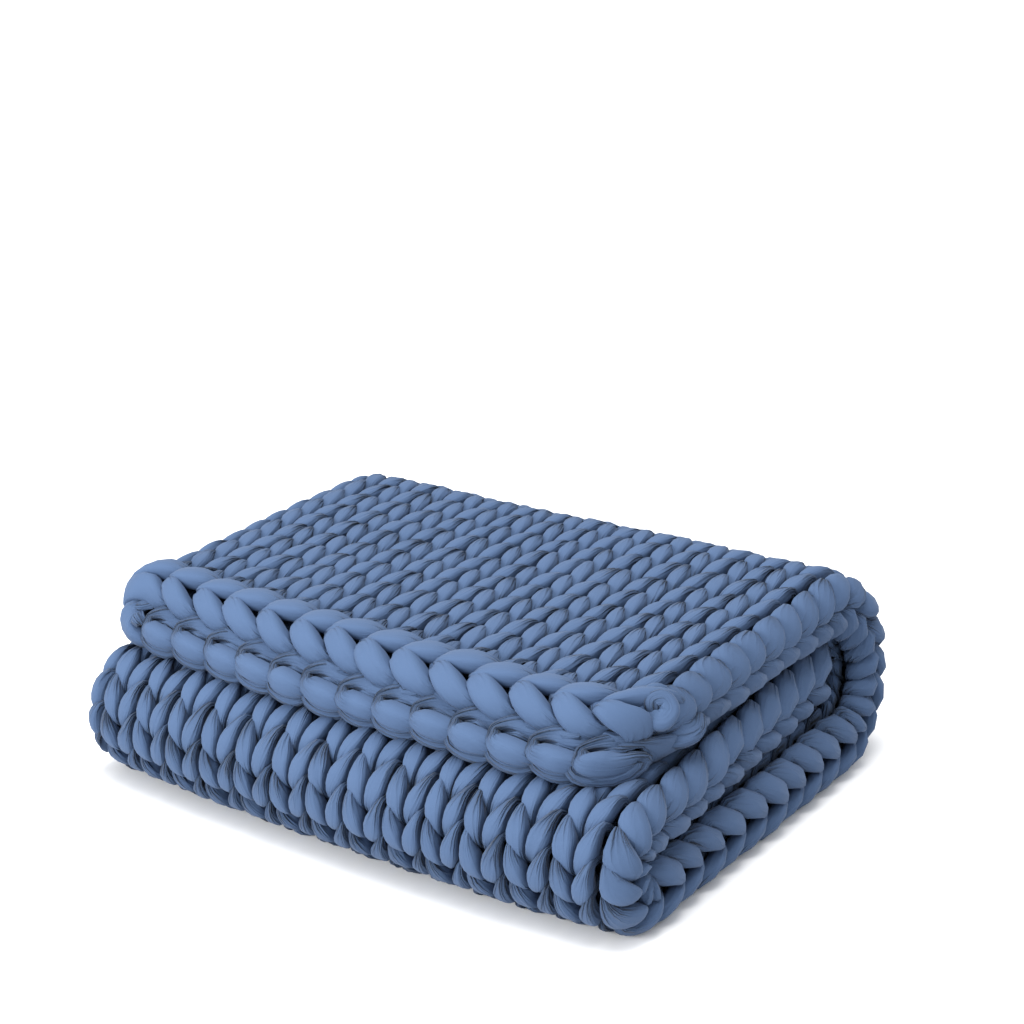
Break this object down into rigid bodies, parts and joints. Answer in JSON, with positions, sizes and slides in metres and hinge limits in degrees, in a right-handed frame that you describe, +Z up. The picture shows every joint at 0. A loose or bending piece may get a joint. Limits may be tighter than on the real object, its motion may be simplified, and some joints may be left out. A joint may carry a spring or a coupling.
{
  "type": "folded knitted blanket",
  "caption": "Chunky hand-knitted weighted blanket of fat jersey yarn, folded in half and then in thirds into a thick flat bundle.",
  "frame": {"origin": "centre of the box round the folded blanket, on the surface that it lies on", "axes": "+X along the folded width to the end with the open side edges, +Y to the big back fold, +Z up"},
  "size_m": [0.692, 0.586, 0.2146],
  "materials": {
    "jersey_yarn": "matt mid-blue cotton jersey yarn, soft creases along the yarn"
  },
  "bodies": {
    "root": {"knitted_blanket": "jersey_yarn"}
  },
  "joints": []
}
